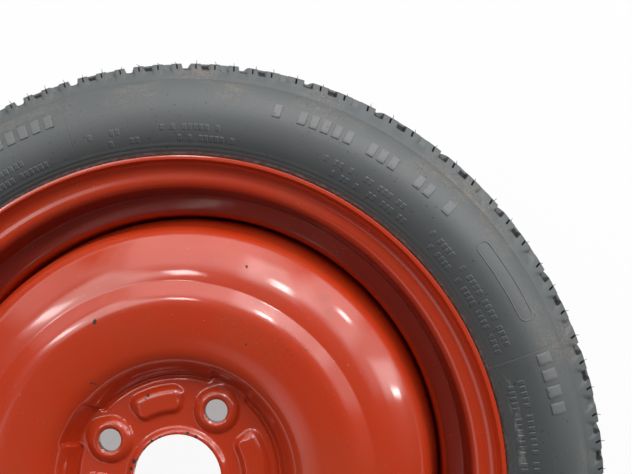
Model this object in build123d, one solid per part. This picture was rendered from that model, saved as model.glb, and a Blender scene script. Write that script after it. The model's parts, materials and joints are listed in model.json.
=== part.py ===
from build123d import *
import os
from cmath import phase, rect
from math import asin, copysign, cos, radians, sin, sqrt, tan

# Space-saver spare wheel: a pressed steel disc welded into a rolled steel rim, a narrow temporary-use
# tyre and a snap-in valve. Lengths are millimetres, angles are degrees. The wheel lies on its inner
# sidewall with its street side up. +Z is the wheel's axis, and the origin is the middle of the hub face,
# the flat underside of the disc that bolts against the car's hub.

# Round stretches of a turned or pressed section are chords that turn by about this much each
CHORD_ANGLE = 28.0

# Rim: 4 inches wide between its flanges, for a 15 inch bead. Heights are counted from its middle plane.
RIM_WIDTH = 101.6
BEAD_SEAT_RADIUS = 190.1
BEAD_SEAT_TAPER = 5.0
BEAD_SEAT_WIDTH = 19.8
FLANGE_HEIGHT = 17.3
FLANGE_CURL = 9.5
FLANGE_LIP = 11.0
RIM_SHEET = 2.6
WELL_DEPTH = 15.0
WELL_STREET_END = 24.0
WELL_CAR_END = -27.0
HUB_OFFSET = 45.0

# Disc: a pressed dome with a sunk hub pad. Heights are counted from the hub face.
DISC_SHEET = 3.6
SKIRT_LENGTH = 24.2
SKIRT_TOP = 2.2
DOME_LEAN = 14.0
DOME_LOW_ROUND = 45.0
DOME_SHOULDER_ROUND = 14.0
DOME_BROW_SLOPE = 40.0
DOME_BROW_RUN = 17.6
DOME_BROW_ROUND = 54.0
DOME_TOP_SLOPE = 6.0
LEDGE_RUN = 46.2
LEDGE_HEIGHT = 23.3
LEDGE_ROUND = 5.0
CREST_RUN = 11.3
CREST_HEIGHT = 28.4
CREST_ROUND = 24.0
CROWN_INNER_RADIUS = 77.0
CROWN_DISH = 4.8
CROWN_INNER_ROUND = 8.0
CREASE_RADIUS = 70.0
CREASE_HEIGHT = 8.5
PAD_RADIUS = 66.0
BAY_DEPTH = 2.6
BAY_HALF_ANGLE = 10.5
BORE_RADIUS = 28.3
COLLAR_WIDTH = 5.0
COLLAR_HEIGHT = 2.6
COLLAR_EDGE = 2.0

# Bolt holes in raised bosses, with a kidney-shaped stiffening swage midway between each two
BOLT_COUNT = 4
BOLT_CIRCLE = 100.0
BOLT_HOLE_RADIUS = 7.2
BOLT_FIRST_ANGLE = 60.5
BOSS_RADIUS = 14.5
BOSS_HEIGHT = 4.0
BOSS_SLOPE = 45.0
KIDNEY_HALF_ANGLE = 19.0
KIDNEY_INNER_RADIUS = 40.8
KIDNEY_OUTER_RADIUS = 60.0
KIDNEY_CORNER = 6.0
KIDNEY_HEIGHT = 3.9
KIDNEY_SLOPE = 45.0

# Weld beads between the disc's skirt and the rim's well
WELD_LEG = 5.0
WELD_BULGE = 0.6
WELD_GAP = 0.3
WELD_COUNT = 4
WELD_ANGLE = 48.0

# Tyre: 125 mm section, 70 percent aspect. Half widths are counted from the middle plane.
TYRE_RADIUS = 278.5
TYRE_HALF_SECTION = 62.5
WIDEST_RADIUS = 234.0
TREAD_HALF_WIDTH = 39.0
TREAD_ROUND = 190.0
PARTING_RADIUS = 261.5
PARTING_HALF_WIDTH = 48.0
TREAD_THICKNESS = 14.0
SIDEWALL_THICKNESS = 6.5
BEAD_WIDTH = 17.0
BEAD_CHAMFER = 4.5
CUSHION_LIFT = 6.2
CUSHION_GAP = 0.2
GROOVE_WIDTH = 5.0
GROOVE_DEPTH = 5.5
GROOVE_SPREAD = 14.0

# Shoulder slots of the tread: runs of short and long pitches in turn round the tyre, given by their counts.
# Each pitch has three slots, given by their depth at the tread's edge and their reach across the tread: one
# blind, one through, one shallow. They run in at a slant.
PITCH_COUNTS = [5, 7, 6, 7, 5, 7]
SHORT_PITCH_ANGLE = 8.19
LONG_PITCH_ANGLE = 10.93
PITCH_START_ANGLE = 77.6
PITCH_SLOTS = [(5.0, 9.5), (5.0, 28.0), (2.5, 12.0)]
SLOT_WIDTH = 5.4
SLOT_FOOT = 10.5
SLOT_SLANT_ANGLE = 16.0

# Snap-in valve in the street-side slope of the well. Stations run along its axis from the sheet's tyre side.
VALVE_ANGLE = 270.0
VALVE_HOLE_RADIUS = 5.75
VALVE_BULB_RADIUS = 7.4
VALVE_BULB_LENGTH = 8.0
VALVE_NECK_GAP = 0.25
VALVE_SEAT_GAP = 0.3
VALVE_COLLAR_RADIUS = 6.0
VALVE_COLLAR_LENGTH = 5.0
VALVE_BODY_RADIUS = 5.4
VALVE_BODY_LENGTH = 15.0
STEM_TIP = 34.0
STEM_ROOT = -4.0
STEM_RADIUS = 3.85
STEM_BORE = 2.45
STEM_AIR_BORE = 1.6
CORE_DEPTH = 11.0
CORE_GAP = 0.05
CORE_RECESS = 1.0
BARREL_LENGTH = 8.0
BARREL_BORE = 1.3
BARREL_FLOOR = 1.0
PIN_RADIUS = 0.7
PIN_GAP = 0.2
PIN_RECESS = 0.3
PIN_HEAD_RADIUS = 1.3
PIN_HEAD_LENGTH = 1.6
PIN_STOP_RADIUS = 1.15
PIN_STOP_LENGTH = 0.6
PIN_STOP_DEPTH = 3.0
SPRING_WIRE = 0.28
SPRING_TURNS = 4
CAP_RADIUS = 5.0
CAP_LENGTH = 10.0
CAP_ROOF = 1.0
CAP_GAP = 0.25
CAP_SEAL = 1.0
CAP_EDGE = 0.8

# Places that several pieces share
MID_Z = -HUB_OFFSET
HALF_WIDTH = RIM_WIDTH / 2
FLANGE_RADIUS = BEAD_SEAT_RADIUS + FLANGE_HEIGHT
SEAT_END_RADIUS = BEAD_SEAT_RADIUS - BEAD_SEAT_WIDTH * tan(radians(BEAD_SEAT_TAPER))
WELL_RADIUS = BEAD_SEAT_RADIUS - WELL_DEPTH
WELL_INSIDE = WELL_RADIUS - RIM_SHEET
SKIRT_END_Z = MID_Z + SKIRT_TOP - SKIRT_LENGTH
CREASE = (CREASE_RADIUS, DISC_SHEET + CREASE_HEIGHT)
BOLT_STEP = 360 / BOLT_COUNT


def rounded(points, rounds):
    """Bent line whose corners are rounded, each by equal chords of an arc."""
    spots = [complex(*p) for p in points]
    line = [spots[0]]
    for before, corner, after, radius in zip(spots, spots[1:], spots[2:], rounds):
        way_in = (corner - before) / abs(corner - before)
        way_out = (after - corner) / abs(after - corner)
        turn = phase(way_out / way_in)
        to_centre = 1j * way_in * copysign(radius, turn)
        start = corner - way_in * radius * tan(abs(turn) / 2)
        count = max(round(abs(turn) / radians(CHORD_ANGLE)), 1) if radius else 0
        spokes = [-to_centre * rect(1, turn * i / max(count, 1)) for i in range(count + 1)]
        line += [start + to_centre + spoke for spoke in spokes]
    line.append(spots[-1])
    return line


def sheet_section(points, rounds, thickness):
    """Section of a bent sheet: one face follows the points, the other lies a thickness to their left."""
    near = rounded(points, rounds)
    normals = [1j * (b - a) / abs(b - a) for a, b in zip(near, near[1:])]
    mitres = [(m + n) / (1 + (m * n.conjugate()).real) for m, n in zip(normals, normals[1:])]
    shifts = [normals[0], *mitres, normals[-1]]
    far = [spot + thickness * shift for spot, shift in zip(near, shifts)]
    outline = [(spot.real, spot.imag) for spot in near + far[::-1]]
    return Plane.XZ * make_face(Polyline(*outline, close=True))


def chords(curve, count=2):
    """Points that cut a curve into equal chords, without its first."""
    return [curve.position_at((i + 1) / count) for i in range(count)]


def spun(points):
    """Solid of revolution about Z of a closed outline of radius and height."""
    return revolve(Plane.XZ * make_face(Polyline(*points, close=True)), Axis.Z)


def around(shape, angle):
    return Rot(0, 0, angle) * shape


def rim():
    """Rolled rim: curled flanges, tapered bead seats and a drop centre, with the valve hole."""
    low_flange = [(FLANGE_RADIUS, -HALF_WIDTH - FLANGE_LIP), (FLANGE_RADIUS, -HALF_WIDTH)]
    low_seat = [(BEAD_SEAT_RADIUS, -HALF_WIDTH), (SEAT_END_RADIUS, BEAD_SEAT_WIDTH - HALF_WIDTH)]
    well = [(WELL_RADIUS, WELL_CAR_END), (WELL_RADIUS, WELL_STREET_END)]
    high_seat = [(SEAT_END_RADIUS, HALF_WIDTH - BEAD_SEAT_WIDTH), (BEAD_SEAT_RADIUS, HALF_WIDTH)]
    high_flange = [(FLANGE_RADIUS, HALF_WIDTH), (FLANGE_RADIUS, HALF_WIDTH + FLANGE_LIP)]
    points = low_flange + low_seat + well + high_seat + high_flange
    rounds = [FLANGE_CURL, 0, 0, 0, 0, 0, 0, FLANGE_CURL]
    band = Pos(0, 0, MID_Z) * revolve(sheet_section(points, rounds, RIM_SHEET), Axis.Z)
    return band - on_valve_axis(Cylinder(VALVE_HOLE_RADIUS, 4 * RIM_SHEET))


def pressed_sheet():
    """Full turn of the disc's sheet, from the skirt's free edge over the stepped dome to the bore."""
    lean, fall, top = [tan(radians(angle)) for angle in (DOME_LEAN, DOME_BROW_SLOPE, DOME_TOP_SLOPE)]
    foot = MID_Z + SKIRT_TOP + DOME_LOW_ROUND * tan(radians(DOME_LEAN / 2))
    ledge = WELL_INSIDE - LEDGE_RUN
    brow = (ledge + DOME_BROW_RUN, LEDGE_HEIGHT - DOME_BROW_RUN * top)
    reach = (foot + WELL_INSIDE / lean - brow[1] - brow[0] * fall) / (1 / lean - fall)
    shoulder = (reach, brow[1] - (reach - brow[0]) * fall)
    dome = [(WELL_INSIDE, foot), shoulder, brow, (ledge, LEDGE_HEIGHT)]
    crown = [(ledge - CREST_RUN, CREST_HEIGHT), (CROWN_INNER_RADIUS, CREST_HEIGHT - CROWN_DISH)]
    pad = [CREASE, (PAD_RADIUS, DISC_SHEET), (BORE_RADIUS, DISC_SHEET)]
    points = [(WELL_INSIDE, SKIRT_END_Z), *dome, *crown, *pad]
    dome_rounds = [DOME_LOW_ROUND, DOME_SHOULDER_ROUND, DOME_BROW_ROUND, LEDGE_ROUND]
    rounds = [*dome_rounds, CREST_ROUND, CROWN_INNER_ROUND, 0, 0]
    return revolve(sheet_section(points, rounds, DISC_SHEET), Axis.Z)


def part_turn(section, angle):
    """Part of a turn of a section about Z, centred on the direction of +X."""
    return around(revolve(section, Axis.Z, revolution_arc=angle), -angle / 2)


def bay_wall():
    """Sheet of one bay: the pad reaches further out under a steeper wall."""
    points = [CREASE, (PAD_RADIUS + BAY_DEPTH, DISC_SHEET), (PAD_RADIUS, DISC_SHEET)]
    return part_turn(sheet_section(points, [0], DISC_SHEET), 2 * BAY_HALF_ANGLE)


def bay_room():
    """Room in front of one bay's wall."""
    outer, inner = (PAD_RADIUS + BAY_DEPTH, DISC_SHEET), (PAD_RADIUS - BAY_DEPTH, DISC_SHEET)
    outline = Polyline(CREASE, outer, inner, (inner[0], CREASE[1]), close=True)
    return part_turn(Plane.XZ * make_face(outline), 2 * BAY_HALF_ANGLE)


def swage_pocket(slope):
    """How far a swage's underside lies inside its street face for an even sheet."""
    return DISC_SHEET * tan(radians(slope / 2))


def boss_cone(shrink, base):
    """Cone frustum of a bolt boss, made smaller all round by a shrink."""
    low = BOSS_RADIUS - shrink
    high = low - BOSS_HEIGHT / tan(radians(BOSS_SLOPE))
    return Pos(BOLT_CIRCLE / 2, 0, base + BOSS_HEIGHT / 2) * Cone(low, high, BOSS_HEIGHT)


def kidney_face(shrink, height):
    """Rounded outline of a swage about the direction of +X, made smaller all round by a shrink."""
    inner, outer = KIDNEY_INNER_RADIUS + shrink, KIDNEY_OUTER_RADIUS - shrink
    turns = [radians(KIDNEY_HALF_ANGLE) - asin(shrink / r) for r in (inner, outer)]
    high = [Vector(r * cos(a), r * sin(a)) for r, a in zip((inner, outer), turns)]
    low = [Vector(spot.X, -spot.Y) for spot in high]
    arcs = [ThreePointArc(a, (r, 0), b) for a, r, b in zip(low, (inner, outer), high)]
    outline = make_face([*arcs, Line(*low), Line(*high)])
    return Pos(0, 0, height) * fillet(outline.vertices(), KIDNEY_CORNER - shrink)


def kidney(shrink, base):
    """Kidney-shaped swage with sloping sides."""
    narrowing = KIDNEY_HEIGHT / tan(radians(KIDNEY_SLOPE))
    foot = kidney_face(shrink, base)
    top = kidney_face(shrink + narrowing, base + KIDNEY_HEIGHT)
    return loft([foot, top], ruled=True)


def disc():
    """Pressed disc: dome, sunk hub pad with bays at the bolts, raised bosses, swages and bore collar."""
    directions = [BOLT_FIRST_ANGLE + i * BOLT_STEP for i in range(BOLT_COUNT)]
    sheet = pressed_sheet() + [around(bay_wall(), d) for d in directions]
    sheet -= [around(bay_room(), d) for d in directions]
    rim_of_bore = BORE_RADIUS + COLLAR_WIDTH
    collar_top = DISC_SHEET + COLLAR_HEIGHT
    collar = [(rim_of_bore, 0), (rim_of_bore, collar_top - COLLAR_EDGE), (rim_of_bore - COLLAR_EDGE, collar_top)]
    sheet += spun([(0, 0), *collar, (0, collar_top)])
    sheet += [around(boss_cone(0, DISC_SHEET), d) for d in directions]
    sheet += [around(kidney(0, DISC_SHEET), d + BOLT_STEP / 2) for d in directions]
    sheet -= [around(boss_cone(swage_pocket(BOSS_SLOPE), 0), d) for d in directions]
    sheet -= [around(kidney(swage_pocket(KIDNEY_SLOPE), 0), d + BOLT_STEP / 2) for d in directions]
    hole = Pos(BOLT_CIRCLE / 2, 0, 0) * Cylinder(BOLT_HOLE_RADIUS, 4 * (DISC_SHEET + BOSS_HEIGHT))
    sheet -= [around(hole, d) for d in directions]
    return sheet - Cylinder(BORE_RADIUS, 4 * (DISC_SHEET + COLLAR_HEIGHT))


def weld_beads():
    """Fillet welds in the corner between the skirt's edge and the rim's well."""
    seat = WELL_INSIDE - WELD_GAP
    toe = (WELL_INSIDE - DISC_SHEET, SKIRT_END_Z)
    foot = (seat, SKIRT_END_Z - WELD_LEG)
    corner = (seat, SKIRT_END_Z)
    face = SagittaArc(toe, foot, WELD_BULGE)
    section = Plane.XZ * make_face([face, Line(foot, corner), Line(corner, toe)])
    return Compound([around(part_turn(section, WELD_ANGLE), i * 360 / WELD_COUNT) for i in range(WELD_COUNT)])


def crown_point(half_width):
    """Point of the crowned tread at a distance from the middle plane."""
    return (TYRE_RADIUS - TREAD_ROUND + sqrt(TREAD_ROUND**2 - half_width**2), half_width)


def tyre_half_outline():
    """Street half of the tyre's section from the tread's middle band round the bead to the liner."""
    seat_slope = tan(radians(BEAD_SEAT_TAPER))
    edge = crown_point(TREAD_HALF_WIDTH)
    parting = (PARTING_RADIUS, PARTING_HALF_WIDTH)
    widest = (WIDEST_RADIUS, TYRE_HALF_SECTION)
    face_end = FLANGE_RADIUS - FLANGE_CURL + FLANGE_CURL * (sqrt(2) - 1) + CUSHION_GAP * sqrt(2)
    cushion = (face_end + CUSHION_LIFT, HALF_WIDTH + CUSHION_LIFT)
    heel = (BEAD_SEAT_RADIUS - BEAD_CHAMFER * seat_slope, HALF_WIDTH - BEAD_CHAMFER)
    toe = (BEAD_SEAT_RADIUS - BEAD_WIDTH * seat_slope, HALF_WIDTH - BEAD_WIDTH)
    bead = [(face_end, HALF_WIDTH), (BEAD_SEAT_RADIUS + BEAD_CHAMFER, HALF_WIDTH), heel, toe]
    liner_radius = TYRE_RADIUS - TREAD_THICKNESS
    liner = [
        (FLANGE_RADIUS, HALF_WIDTH - SIDEWALL_THICKNESS / 2),
        (WIDEST_RADIUS, TYRE_HALF_SECTION - SIDEWALL_THICKNESS),
        (PARTING_RADIUS - SIDEWALL_THICKNESS, PARTING_HALF_WIDTH - SIDEWALL_THICKNESS),
        (liner_radius, TREAD_HALF_WIDTH - TREAD_THICKNESS),
    ]
    groove = [GROOVE_SPREAD - GROOVE_WIDTH / 2, GROOVE_SPREAD + GROOVE_WIDTH / 2]
    floor = TYRE_RADIUS - GROOVE_DEPTH
    tread = [(TYRE_RADIUS, groove[0]), (floor, groove[0]), (floor, groove[1]), crown_point(groove[1]), edge]
    upper = TangentArc(widest, parting, tangent=(1, 0))
    lower = TangentArc(widest, cushion, tangent=(-1, 0))
    sidewall = [parting, *chords(upper)[-2::-1], widest, *chords(lower)]
    return [Vector(*p) for p in tread + sidewall + bead + liner]


def shoulder_slot(angle, depth, reach):
    """Cutter of one tread slot, whose flat floor runs in at a slant from its foot on the shoulder."""
    edge_radius = crown_point(TREAD_HALF_WIDTH)[0]
    face = Vector(edge_radius - PARTING_RADIUS, 0, TREAD_HALF_WIDTH - PARTING_HALF_WIDTH)
    along = face.normalized()
    inward = Vector(along.Z, 0, -along.X)
    floor = (along * (face.length - SLOT_FOOT) + inward * depth).normalized()
    foot = Vector(PARTING_RADIUS, 0, MID_Z + PARTING_HALF_WIDTH) + along * SLOT_FOOT
    plane = Plane(foot, x_dir=(0, -1, 0), z_dir=Vector(0, -1, 0).cross(floor))
    half, slant = SLOT_WIDTH / 2, tan(radians(SLOT_SLANT_ANGLE))
    corners = [(-half, -depth), (half, -depth), (half, reach), (-half, reach)]
    outline = Polyline(*[(x - slant * y, y) for x, y in corners], close=True)
    return around(extrude(plane * make_face(outline), 2 * depth), angle)


def shoulder_slots():
    """Cutters of the street side's slots, pitch by pitch round the tyre."""
    kinds = (SHORT_PITCH_ANGLE, LONG_PITCH_ANGLE)
    lengths = [kinds[i % 2] for i, count in enumerate(PITCH_COUNTS) for _ in range(count)]
    share = 360 / sum(lengths)
    start = PITCH_START_ANGLE
    cutters = []
    for length in lengths:
        step = length * share / len(PITCH_SLOTS)
        cutters += [shoulder_slot(start + (i + 0.5) * step, *slot) for i, slot in enumerate(PITCH_SLOTS)]
        start += length * share
    return cutters


def tyre():
    """Tubeless tyre: beads, bulged sidewalls and a crowned tread with two grooves and slotted shoulders."""
    half = tyre_half_outline()
    other = [Vector(spot.X, -spot.Y) for spot in half[::-1]]
    casing = Pos(0, 0, MID_Z) * spun([*half, *other])
    cutters = shoulder_slots()
    middle_plane = Plane.XY.offset(MID_Z)
    return casing - cutters - [mirror(cutter, about=middle_plane) for cutter in cutters]


def on_valve_axis(shape):
    """Moves a shape from the Z axis to the valve's axis, with its origin on the sheet's tyre side."""
    slope = Vector(SEAT_END_RADIUS - WELL_RADIUS, 0, HALF_WIDTH - BEAD_SEAT_WIDTH - WELL_STREET_END)
    middle = Vector(WELL_RADIUS, 0, MID_Z + WELL_STREET_END) + slope * 0.5
    seat = Plane(middle, x_dir=(0, 1, 0), z_dir=Vector(-slope.Z, 0, slope.X))
    return Rot(0, 0, VALVE_ANGLE) * seat.location * shape


def valve_stations():
    """Stations of the valve's parts along its axis, by name."""
    collar_foot = RIM_SHEET + VALVE_SEAT_GAP
    collar_top = collar_foot + VALVE_COLLAR_LENGTH
    return {
        "collar_foot": collar_foot,
        "body_top": collar_top + VALVE_BODY_LENGTH,
        "collar_top": collar_top,
        "core_floor": STEM_TIP - CORE_DEPTH,
        "barrel_top": STEM_TIP - CORE_RECESS,
        "barrel_end": STEM_TIP - CORE_RECESS - BARREL_LENGTH,
        "stop_top": STEM_TIP - PIN_STOP_DEPTH,
    }


def valve_body():
    """Rubber of the snap-in valve: bulb inside the rim, waist in the hole, collar and tapered body outside."""
    at = valve_stations()
    outline = [
        (STEM_AIR_BORE, -VALVE_BULB_LENGTH),
        (VALVE_BODY_RADIUS, -VALVE_BULB_LENGTH),
        (VALVE_BULB_RADIUS, -VALVE_SEAT_GAP),
        (VALVE_HOLE_RADIUS - VALVE_NECK_GAP, -VALVE_SEAT_GAP),
        (VALVE_HOLE_RADIUS - VALVE_NECK_GAP, at["collar_foot"]),
        (VALVE_COLLAR_RADIUS, at["collar_foot"]),
        (VALVE_BODY_RADIUS, at["collar_top"]),
        (VALVE_BODY_RADIUS, at["body_top"]),
        (STEM_RADIUS, at["body_top"]),
        (STEM_RADIUS, STEM_ROOT),
        (STEM_AIR_BORE, STEM_ROOT),
    ]
    return on_valve_axis(spun(outline))


def valve_stem():
    """Brass stem with a wide bore for the core and a narrow air passage below it."""
    floor = valve_stations()["core_floor"]
    outline = [
        (STEM_AIR_BORE, STEM_ROOT),
        (STEM_RADIUS, STEM_ROOT),
        (STEM_RADIUS, STEM_TIP),
        (STEM_BORE, STEM_TIP),
        (STEM_BORE, floor),
        (STEM_AIR_BORE, floor),
    ]
    return on_valve_axis(spun(outline))


def core_barrel():
    """Brass barrel of the valve core, with a floor that carries the spring."""
    at = valve_stations()
    outer = STEM_BORE - CORE_GAP
    hole = PIN_RADIUS + PIN_GAP
    outline = [
        (hole, at["barrel_end"]),
        (outer, at["barrel_end"]),
        (outer, at["barrel_top"]),
        (BARREL_BORE, at["barrel_top"]),
        (BARREL_BORE, at["barrel_end"] + BARREL_FLOOR),
        (hole, at["barrel_end"] + BARREL_FLOOR),
    ]
    return on_valve_axis(spun(outline))


def core_gasket():
    """Sealing ring between the barrel, the stem's step and the pin's head."""
    at = valve_stations()
    outer, inner = STEM_BORE - CORE_GAP, PIN_RADIUS + PIN_GAP
    low, high = at["core_floor"], at["barrel_end"]
    return on_valve_axis(spun([(inner, low), (outer, low), (outer, high), (inner, high)]))


def core_pin():
    """Pin of the valve core: a rod with a stop that takes the spring and a head that seals from below."""
    at = valve_stations()
    outline = [
        (0, at["core_floor"] - PIN_HEAD_LENGTH),
        (PIN_HEAD_RADIUS, at["core_floor"] - PIN_HEAD_LENGTH),
        (PIN_HEAD_RADIUS, at["core_floor"]),
        (PIN_RADIUS, at["core_floor"]),
        (PIN_RADIUS, at["stop_top"] - PIN_STOP_LENGTH),
        (PIN_STOP_RADIUS, at["stop_top"] - PIN_STOP_LENGTH),
        (PIN_STOP_RADIUS, at["stop_top"]),
        (PIN_RADIUS, at["stop_top"]),
        (PIN_RADIUS, STEM_TIP - PIN_RECESS),
        (0, STEM_TIP - PIN_RECESS),
    ]
    return on_valve_axis(spun(outline))


def core_spring():
    """Coil spring between the barrel's floor and the pin's stop."""
    at = valve_stations()
    low = at["barrel_end"] + BARREL_FLOOR + SPRING_WIRE / 2
    high = at["stop_top"] - PIN_STOP_LENGTH - SPRING_WIRE / 2
    coil_radius = (PIN_RADIUS + BARREL_BORE) / 2
    path = Helix((high - low) / SPRING_TURNS, high - low, coil_radius, center=(0, 0, low))
    wire = Plane((coil_radius, 0, low), x_dir=(1, 0, 0), z_dir=(0, 1, 0)) * Rectangle(SPRING_WIRE, SPRING_WIRE)
    return on_valve_axis(sweep(wire, path, is_frenet=True))


def valve_cap():
    """Screw cap over the stem's end."""
    roof = STEM_TIP + CAP_SEAL
    top = roof + CAP_ROOF
    bore = STEM_RADIUS + CAP_GAP
    outline = [
        (0, roof),
        (bore, roof),
        (bore, top - CAP_LENGTH),
        (CAP_RADIUS, top - CAP_LENGTH),
        (CAP_RADIUS, top - CAP_EDGE),
        (CAP_RADIUS - CAP_EDGE, top),
        (0, top),
    ]
    return on_valve_axis(spun(outline))


def cap_seal():
    """Rubber washer inside the cap, pressed on the stem's end."""
    roof = STEM_TIP + CAP_SEAL
    outer = STEM_RADIUS + CAP_GAP
    return on_valve_axis(spun([(0, STEM_TIP), (outer, STEM_TIP), (outer, roof), (0, roof)]))


PIECES = {
    "tyre": tyre,
    "rim": rim,
    "wheel_disc": disc,
    "weld_beads": weld_beads,
    "valve_body": valve_body,
    "valve_stem": valve_stem,
    "core_barrel": core_barrel,
    "core_gasket": core_gasket,
    "core_pin": core_pin,
    "core_spring": core_spring,
    "valve_cap": valve_cap,
    "cap_seal": cap_seal,
}

os.makedirs("parts", exist_ok=True)
for name, make in PIECES.items():
    export_step(make(), f"parts/{name}.step")
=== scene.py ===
# %% [markdown]
# # A space-saver spare wheel
# The wheel lies on its inner sidewall with its street side up, and the camera looks down on it. The
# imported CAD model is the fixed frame: its sizes are read from it, and every piece made here sits in it.

# %% Load the frame
import json
from cmath import phase, rect
from math import atan2, copysign, cos, radians, sin, sqrt, tan, tau
from random import Random

import bpy
import numpy as np
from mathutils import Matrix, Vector

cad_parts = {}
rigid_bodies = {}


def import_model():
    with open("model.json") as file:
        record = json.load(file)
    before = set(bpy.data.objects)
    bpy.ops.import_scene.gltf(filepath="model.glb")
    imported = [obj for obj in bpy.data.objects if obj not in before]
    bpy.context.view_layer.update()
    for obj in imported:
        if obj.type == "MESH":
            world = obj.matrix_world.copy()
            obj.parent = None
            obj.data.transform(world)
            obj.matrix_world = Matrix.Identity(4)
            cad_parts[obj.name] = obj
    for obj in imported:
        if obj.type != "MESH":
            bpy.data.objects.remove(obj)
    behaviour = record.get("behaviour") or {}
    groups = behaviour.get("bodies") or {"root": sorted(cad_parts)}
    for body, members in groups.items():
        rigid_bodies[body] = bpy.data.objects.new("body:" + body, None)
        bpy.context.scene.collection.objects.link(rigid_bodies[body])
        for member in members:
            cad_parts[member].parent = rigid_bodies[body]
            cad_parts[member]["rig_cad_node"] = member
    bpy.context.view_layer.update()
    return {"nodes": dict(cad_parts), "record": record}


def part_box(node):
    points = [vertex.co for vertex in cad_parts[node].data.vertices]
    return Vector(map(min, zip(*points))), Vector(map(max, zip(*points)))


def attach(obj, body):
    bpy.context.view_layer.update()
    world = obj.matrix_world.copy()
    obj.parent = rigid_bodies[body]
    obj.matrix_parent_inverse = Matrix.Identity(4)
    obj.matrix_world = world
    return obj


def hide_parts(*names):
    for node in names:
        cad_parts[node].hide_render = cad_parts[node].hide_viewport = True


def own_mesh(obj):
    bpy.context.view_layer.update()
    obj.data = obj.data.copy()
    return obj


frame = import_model()
mm = 0.001

# %% [markdown]
# ## Sizes
# What the frame knows is taken from it: the flange and tyre from their boxes, the bore and bolt circle
# from the mounts. Sections below are written in millimetres, as a drawing has them, and made metres when
# they become a mesh.

# %% Sizes from the frame
mounts = {mount["name"]: mount["dims"] for mount in frame["record"]["mounts"]}
tyre_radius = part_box("tyre")[1].x / mm
flange_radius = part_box("rim")[1].x / mm
well_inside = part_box("wheel_disc")[1].x / mm
skirt_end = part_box("wheel_disc")[0].z / mm
flange_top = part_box("rim")[1].z / mm
middle = (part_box("rim")[0].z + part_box("rim")[1].z) / 2 / mm
bore_radius = mounts["hub_bore"]["r_mm"]
bolt_circle = mounts["bolt_holes"]["pcd_mm"] / 2
bolt_hole = mounts["bolt_holes"]["hole_r_mm"]
floor_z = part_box("tyre")[0].z
BOLT_FIRST = 60.5
bolt_turns = [radians(BOLT_FIRST) + i * tau / 4 for i in range(4)]
bolt_places = [(bolt_circle * cos(turn), bolt_circle * sin(turn)) for turn in bolt_turns]
print("tyre", tyre_radius, "flange", flange_radius, "well", well_inside, "middle plane", middle)

# %% [markdown]
# ## Camera
# The photo looks almost straight at the wheel from half a metre, with the hub low on its left. The flange
# is a true circle of known size, so its oval in the photo gives the camera's place and turn.

# %% Camera
photo_width = 632
focal_pixels = 800
CAMERA_PLACE = Vector((98.6, 115.2, 525.2))
CAMERA_TURN = (4.41, 1.12, 0)
bpy.ops.object.camera_add(location=CAMERA_PLACE * mm)
camera = bpy.context.object
camera.rotation_mode = "YXZ"
camera.rotation_euler = [radians(turn) for turn in CAMERA_TURN]
camera.data.sensor_width = 36
camera.data.lens = camera.data.sensor_width * focal_pixels / photo_width
camera.data.clip_start = 0.01
bpy.context.scene.camera = camera
bpy.context.scene.view_settings.view_transform = "Standard"
print("lens", round(camera.data.lens, 2), "mm")

# %% [markdown]
# ## Shader sums
# A finish is a sum of noises and masks. One class wraps a socket, so that masks can be written as plain
# expressions, and one method adds any other node.


# %% Shader helper
class Value:
    """A socket that can be used in sums."""

    def __init__(self, finish, socket):
        self.finish = finish
        self.socket = socket

    def math(self, operation, *others):
        return self.finish.node("ShaderNodeMath", {"operation": operation}, [self, *others])

    def __add__(self, other):
        return self.math("ADD", other)

    def __sub__(self, other):
        return self.math("SUBTRACT", other)

    def __rsub__(self, other):
        return self.finish.node("ShaderNodeMath", {"operation": "SUBTRACT"}, [other, self])

    def __mul__(self, other):
        return self.math("MULTIPLY", other)

    def __truediv__(self, other):
        return self.math("DIVIDE", other)

    def __abs__(self):
        return self.math("ABSOLUTE")

    __radd__ = __add__
    __rmul__ = __mul__


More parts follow.
